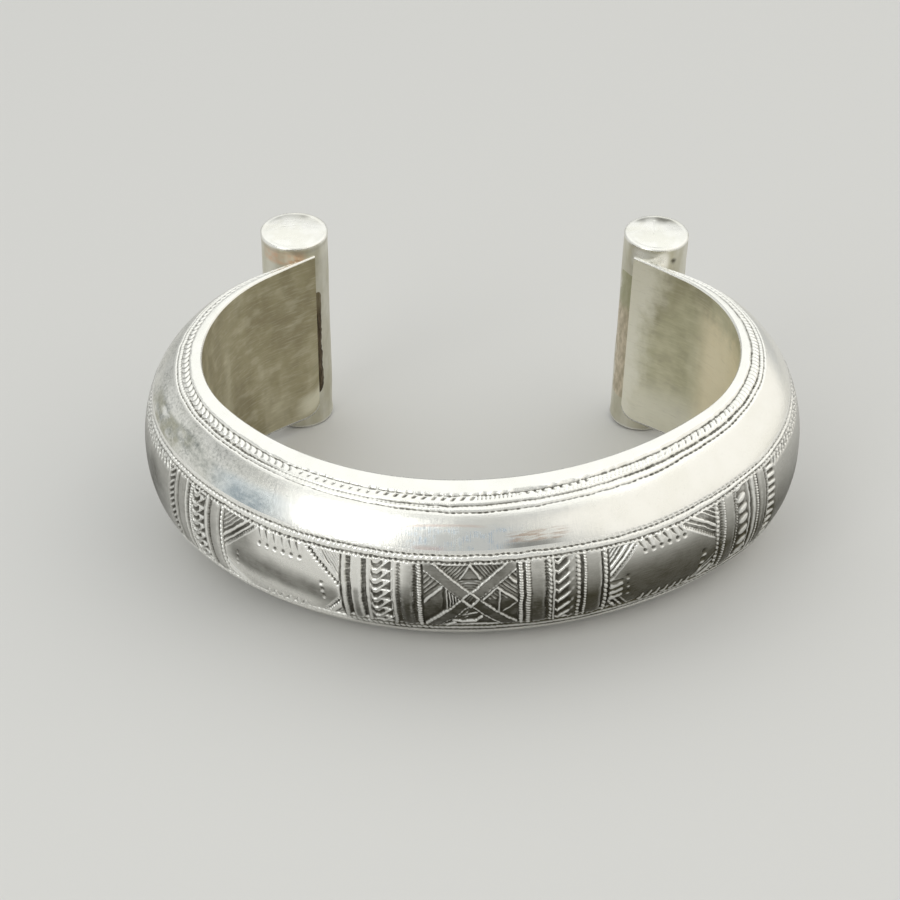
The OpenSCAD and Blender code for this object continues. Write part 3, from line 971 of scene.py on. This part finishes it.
# dark patina, also used as painted shade on the cylinders; the band's dark ground, partly painted shade
DARK_PATINA_AND_SHADE, DARK_CUT, OLIVE_CUT = (0.07, 0.064, 0.047), (0.074, 0.07, 0.052), (0.07, 0.064, 0.04)
# inner wall colours: painted shade on the left, painted light on the right
SHADED_LEFT_WALL, LIT_RIGHT_WALL = (0.435, 0.39, 0.255), (0.57, 0.55, 0.385)
OLD_SPOTS, STAIN = (0.27, 0.28, 0.26), (0.17, 0.19, 0.18)
COPPER, OLIVE = (0.72, 0.48, 0.31), (0.5, 0.47, 0.33)


def silver(name, rough, scratch, ground, tint=0.3, dirt_and_shade=0.92, turn=0, dents=0.1, brushed=0):
    """Old, rubbed silver. `ground` gives the clean colour and how marked it is. Tone and gloss vary in
    patches, fine scratches run one way, and patina darkens the metal where it lies low; the same
    darkening paints shade on the cylinders, and raised metal is brightened as rubbed silver and a painted
    highlight."""
    n = Nodes(name)
    strip = n.vector("strip")
    s, q, _ = n.parts(strip)
    dark_parts, light_parts, tone = n.parts(n.vector("wear_and_painted_light"))
    patches = n.noise(strip, 0.22, 5, 0.6)
    fine = n.noise(strip, (14, 0.7), 3, 0.6, turn)
    cross = n.noise(strip, (0.5, 9), 2, 0.6, turn + 0.5)
    marks = n.plus(n.times(fine, 0.6), n.times(cross, 0.4))
    colour, marked = ground(n, strip, s, q, tone)
    colour = n.over(colour, WARM_SILVER, n.between(patches, 0.4, 0.66), tint)
    uneven = n.between(n.noise(strip, 1.3), 0.32, 0.6, 0.65, 1)
    # darkening: patina in the relief's hollows, and painted shade on the cylinders
    grime_and_shade = n.times(n.between(dark_parts, 0.08, 0.9), uneven, dirt_and_shade)
    speckle = n.between(n.noise(strip, 2.6, 3, 0.7), 0.6, 0.76, 0, 0.1)
    colour = n.over(colour, DARK_PATINA_AND_SHADE, n.math("MAXIMUM", grime_and_shade, speckle, clamp=True))
    # brightening: rubbed silver on raised metal, and a painted highlight on the crests
    brightened = n.times(n.between(light_parts, 0.15, 0.8), n.between(tone, 0.3, 1, 0.9, 0.62))
    colour = n.over(colour, BRIGHT_SILVER, brightened)
    gloss = n.plus(rough, n.between(patches, 0.35, 0.7, 0, 0.08))
    gloss = n.plus(gloss, n.times(n.between(marks, 0.42, 0.65), scratch, 0.25), n.times(grime_and_shade, 0.35))
    gloss = n.plus(n.plus(gloss, n.times(brightened, -0.08)), n.times(marked, 0.14), clamp=True)
    normal = n.bump(marks, n.plus(scratch, n.times(marked, 0.6)), 0.00006)
    if brushed:
        normal = n.bump(n.noise(strip, (0.5, 7), 4, 0.65, turn), brushed, 0.0001, Normal=normal)
    normal = n.bump(n.noise(strip, 0.9, 2, 0.5), dents, 0.0003, Normal=normal)
    return n.finish(Base_Color=colour, Metallic=1, Roughness=gloss, Normal=normal)


def plain_ground(n, strip, s, q, tone):
    return WHITE_SILVER, n.between(n.noise(strip, 0.4), 0.5, 0.8, 0, 0.5)


def cut_ground(n, strip, s, q, tone):
    """The middle band: from white silver to dark, old silver, as the tone channel says, which holds the
    band's patina and painted shade.
    """
    cloudy = n.between(n.noise(strip, 0.45, 5, 0.65), 0.35, 0.68, -0.07, 0.05)
    cloudy = n.times(cloudy, n.between(s, 14, 10, 0.3, 1))
    hairs = n.between(n.noise(strip, (0.8, 7), 4, 0.7, -0.7), 0.35, 0.65, -0.03, 0.03)
    uneven = n.times(n.plus(cloudy, hairs), n.between(tone, 0, 0.3))
    tone = n.plus(tone, uneven, clamp=True)
    dark = n.over(DARK_CUT, OLIVE_CUT, n.between(s, 2, 16))
    return n.over(WHITE_SILVER, dark, tone), n.times(tone, 0.6)


def dome_ground(n, strip, s, q, tone):
    """The dome: clean to the right, fine grey speckle to the left, and stained patches and a soft grey
    patch over the front.
    """
    spots = n.between(n.noise(strip, 2.6, 6, 0.75), 0.42, 0.64, 0.25, 1)
    spots = n.times(spots, n.between(n.noise(strip, 0.35, 3), 0.35, 0.65, 0.45, 1))
    clean = n.times(n.between(s, -30, -36), n.between(q, 7.4, 6), -0.8)
    old = n.times(n.between(s, -16, -26), n.plus(1, clean))
    ragged = n.between(n.noise(strip, (0.78, 1.69), 5, 0.65, 0.3), 0.34, 0.64, 0.15, 1)
    cloud = n.times(n.between(n.noise(strip, 0.5), 0.4, 0.6), 0.65)
    front = n.patch(s, q, (-6, -3, 5, 10), (5, 5.8, 7.6, 8.6))
    hairs = n.between(n.noise(strip, (8, 0.5), 3, 0.6, 0.08), 0.4, 0.62)
    hairs = n.times(hairs, n.between(n.noise(strip, (0.5, 1.2), 2), 0.35, 0.65))
    bow = n.plus(q, n.times(s, s, 0.012))
    streaks = n.times(n.between(n.noise(strip, (0.5, 3.2), 3), 0.42, 0.6), 0.6)
    warm = n.between(n.noise(strip, 0.13, 2), 0.4, 0.7, 0, 0.3)
    colour = n.over(n.over(WHITE_SILVER, WARM_SILVER, warm), OLD_SPOTS, old, spots, 0.78)
    blots = [((-24.5, 6.9), (4.4, 1.3), 0.8), ((-36.5, 8.6), (5.5, 1.4), 0.65),
             ((-43, 8.4), (5, 1.5), 0.7), ((-31, 7.6), (4, 1.4), 0.5)]
    for at, wide, dark in blots:
        colour = n.over(colour, STAIN, n.blot(s, q, at, wide), ragged, dark)
    dome_marks = [
        (n.blot(s, q, (-43.5, 8.6), (1.6, 0.5)), 0.8, BRIGHT_SILVER),
        (n.patch(s, q, (-32, -27, -23, -17), (5.4, 6.2, 7.8, 9)), 0.4, (0.55, 0.68, 0.8)),
        (n.patch(s, q, (-50, -45, -38, -34), (6.2, 7.2, 8.8, 9.6)), cloud, (0.36, 0.35, 0.25)),
        (front, n.between(hairs, 0, 1, 0.18, 0.88), (0.5, 0.58, 0.66)),
        (n.patch(s, bow, (-6, -4, 2.5, 4.5), (8.12, 8.28, 8.36, 8.52)), 0.32, (0.8, 0.56, 0.46)),
        (n.patch(s, q, (-4.5, -3.2, -1.3, 0), (5.2, 5.5, 5.9, 6.3)), 0.4, (0.78, 0.56, 0.52)),
        (n.patch(s, q, (5.5, 7.5, 11, 13.5), (5.9, 6.4, 7.1, 7.6)), streaks, (0.46, 0.28, 0.18)),
        # a soft dark grey patch at the dome's foot, right of the front
        (n.patch(s, q, (5, 7.5, 10, 13), (5.2, 5.5, 6.1, 6.5)), 0.75, (0.25, 0.25, 0.24)),
    ]
    for area, strength, paint in dome_marks:
        colour = n.over(colour, paint, area, strength)
    return colour, n.plus(n.times(front, hairs, 0.8), n.times(old, spots, 0.7))


def wall_ground(n, strip, s, q, tone):
    """The inner wall, painted darker to the left as shade and lighter to the right as light, in soft drifts
    and clouds under faint slanting lines.
    """
    drift = n.noise(strip, (0.16, 0.06), 3, 0.55, 0.15)
    clouds = n.noise(strip, (0.3, 0.55), 2, 0.5, 0.4)
    lines = n.noise(strip, (0.35, 4), 5, 0.7, 0.35)
    ragged = n.times(n.plus(n.noise(strip, 0.5, 4), -0.5), 5)
    toward_end = n.plus(s, n.between(q, 2, 10, 0, 2), ragged)
    edges = n.between(toward_end, REACH - 5, REACH - 0.5, 0, 0.95)
    edges = n.math("MAXIMUM", edges, n.between(q, -2.5, -9, 0, 0.75), clamp=True)
    brown = n.times(n.span(s, 40, 58, 66, 71), n.between(n.plus(q, ragged), 11, 6))
    brightened = n.times(n.between(s, 5 - REACH, 1.5 - REACH), n.span(q, -12, -10.4, -9.4, -7.4))
    # painted shade to the left, painted light to the right
    colour = n.over(SHADED_LEFT_WALL, LIT_RIGHT_WALL, n.between(s, -30, 30))
    for area, strength, paint in [
        (n.between(drift, 0.5, 0.66), 0.3, (0.86, 0.82, 0.64)),
        (n.between(drift, 0.48, 0.34), 0.34, (0.26, 0.22, 0.14)),
        (n.between(clouds, 0.5, 0.7), 0.24, (0.86, 0.83, 0.66)),
        (n.between(clouds, 0.5, 0.32), 0.2, (0.24, 0.21, 0.14)),
        (edges, n.between(s, 0, 20), (0.97, 0.95, 0.84)),
        (brown, 0.8, (0.97, 0.87, 0.64)),
        (brightened, 0.75, (0.95, 0.92, 0.76)),
        (n.between(lines, 0.48, 0.68), 0.22, (0.92, 0.89, 0.74)),
        (n.between(lines, 0.46, 0.3), 0.16, (0.22, 0.19, 0.12)),
    ]:
        colour = n.over(colour, paint, area, strength)
    return colour, n.between(lines, 0.4, 0.9)


def cylinder_ground(n, strip, s, q, tone):
    """Bright caps over olive sides with upright drifts."""
    colour = n.over(WHITE_SILVER, WARM_SILVER, n.between(n.noise(strip, 0.35, 3), 0.42, 0.62, 0, 0.5))
    height = n.math("ABSOLUTE", n.parts(strip)[2])
    drift = n.noise(strip, (0.5, 0.5, 0.16), 3, 0.5)
    side = n.times(n.between(height, 13.25, 12.95), n.between(drift, 0.3, 0.7, 0.8, 0.45))
    colour = n.over(colour, OLIVE, side)
    return n.over(colour, COPPER, tone, n.between(n.noise(strip, 0.9, 3), 0.3, 0.6, 0.2, 0.8)), side


def solder(name, dark, light, high, changes=3):
    """Dull solder, of another colour above the height at which it changes."""
    n = Nodes(name)
    strip = n.vector("strip")
    grain = n.noise(strip, (1.3, 0.585), 4, 0.6)
    colour = n.over(dark, light, n.between(grain, 0.36, 0.66))
    colour = n.over(colour, high, n.between(n.parts(strip)[1], changes, changes + 2))
    gloss = n.between(grain, 0.3, 0.7, 0.65, 0.35)
    return n.finish(Base_Color=colour, Metallic=0.85, Roughness=gloss, Normal=n.bump(grain, 0.6, 0.0002))


SILVER_DOME = silver("silver_dome", 0.18, 0.2, dome_ground, tint=0.15, dents=0.04)
SILVER_RIM = silver("silver_rim", 0.2, 0.25, plain_ground, tint=0.2, dirt_and_shade=0.84, dents=0.06)
SILVER_CUT = silver("silver_cut", 0.22, 0.26, cut_ground, tint=0, dirt_and_shade=0.8)
SILVER_WALL = silver("silver_wall", 0.32, 0.16, wall_ground, tint=0, dirt_and_shade=0.7, turn=0.35, brushed=0.1)
SILVER_CYL = silver("silver_cylinder", 0.24, 0.22, cylinder_ground, tint=0.2)
SOLDER_LEFT = solder("solder_left", (0.05, 0.036, 0.02), (0.14, 0.1, 0.058), (0.2, 0.165, 0.1))
SOLDER_RIGHT = solder("solder_right", (0.52, 0.46, 0.35), (0.7, 0.62, 0.49), (0.47, 0.46, 0.32))

# Pieces
SPLITS = [ENGRAVED[0] - 0.6, -11.1, 16.25, ENGRAVED[1] + 0.6]
FINE, COARSE = (0.07, 161), (0.16, 81)  # step along the band and rows across it
for k in range(3):
    middle_band(f"middle_band_{k + 1}", SPLITS[k], SPLITS[k + 1], *FINE)
middle_band("band_end_left", -REACH, SPLITS[0], *COARSE)
middle_band("band_end_right", SPLITS[-1], REACH, *COARSE)
for label, up in (("upper", 1), ("lower", -1)):
    rim_border(f"{label}_border", up)
    dome(f"{label}_dome", up)
inner_wall()
for side in (-1, 1):
    plate_end(side)
    cylinder(side)
solder_seam(-1, top=7.4, foot=-9, wide=1.15, swell=0.05, material=SOLDER_LEFT)
solder_seam(1, top=9.95, foot=-10.2, wide=3.4, swell=0.03, material=SOLDER_RIGHT)

# Studio
EYE = Vector((9.95, -191.4, 133.9)) * MM
YAW, PITCH, ROLL, LENS = 0.0643, 0.5756, -0.0256, 79.8
SENSOR, NEAREST = 36, 0.005
FLOOR_REACH, FLOOR_COLOUR = 3, (0.655, 0.65, 0.64)
SKY, SKY_STRENGTH = (0.985, 1, 0.98, 1), 0.57
COOL_LIGHT, WARM_LIGHT = (0.99, 1, 0.97), (1, 0.95, 0.86)
SOFTBOXES = [
    # name, azimuth, elevation, distance, size, radiance, colour
    ("overhead", 0, 75, 0.78, (1.2, 1.5), 0.55, COOL_LIGHT),
    ("front_left", -146, 30, 0.6, (0.28, 0.5), 1.6, COOL_LIGHT),
    ("right", 97, 29, 0.6, (1.4, 0.72), 0.46, WARM_LIGHT),
    ("left", -88, 18, 0.7, (0.75, 0.45), 0.25, COOL_LIGHT),
]


def camera():
    data = bpy.data.cameras.new("camera")
    data.sensor_fit, data.sensor_width, data.lens = "HORIZONTAL", SENSOR, LENS
    data.clip_start = NEAREST
    eye = add("camera", data)
    eye.matrix_world = (Matrix.Translation(EYE) @ Matrix.Rotation(YAW, 4, "Z")
                        @ Matrix.Rotation(pi / 2 - PITCH, 4, "X") @ Matrix.Rotation(ROLL, 4, "Z"))
    bpy.context.scene.camera = eye


def softbox(name, azimuth, elevation, distance, size, radiance, colour):
    """Soft light that faces the cuff; azimuth 0 is behind it (+Y) and 90 to its right (+X)."""
    az, el = radians(azimuth), radians(elevation)
    toward = Vector((sin(az) * cos(el), cos(az) * cos(el), sin(el)))
    data = bpy.data.lights.new(name, "AREA")
    data.shape, data.size, data.size_y = "RECTANGLE", *size
    data.energy, data.color = radiance * pi * size[0] * size[1], colour
    lamp = add(name, data)
    lamp.location = Vector((0, 0, 0.015)) + toward * distance
    lamp.rotation_euler = toward.to_track_quat("Z", "Y").to_euler()


def studio():
    n = Nodes("pale_floor")
    grain = n.noise(n.node("TexCoord").outputs[3], 900, 3)
    material = n.finish(Base_Color=FLOOR_COLOUR, Roughness=0.75, Normal=n.bump(grain, 0.04, 0.0002))
    mesh = bpy.data.meshes.new("floor")
    corners = [(x * FLOOR_REACH, y * FLOOR_REACH, 0) for x, y in ((-1, -1), (1, -1), (1, 1), (-1, 1))]
    mesh.from_pydata(corners, [], [(0, 1, 2, 3)])
    mesh.materials.append(material)
    floor = add("floor", mesh)
    world = bpy.data.worlds.new("studio")
    world.use_nodes = True
    sky = world.node_tree.nodes["Background"].inputs
    sky["Color"].default_value, sky["Strength"].default_value = SKY, SKY_STRENGTH
    bpy.context.scene.world = world
    bpy.context.scene.view_settings.view_transform = "Standard"
    for row in SOFTBOXES:
        softbox(*row)


camera()
studio()
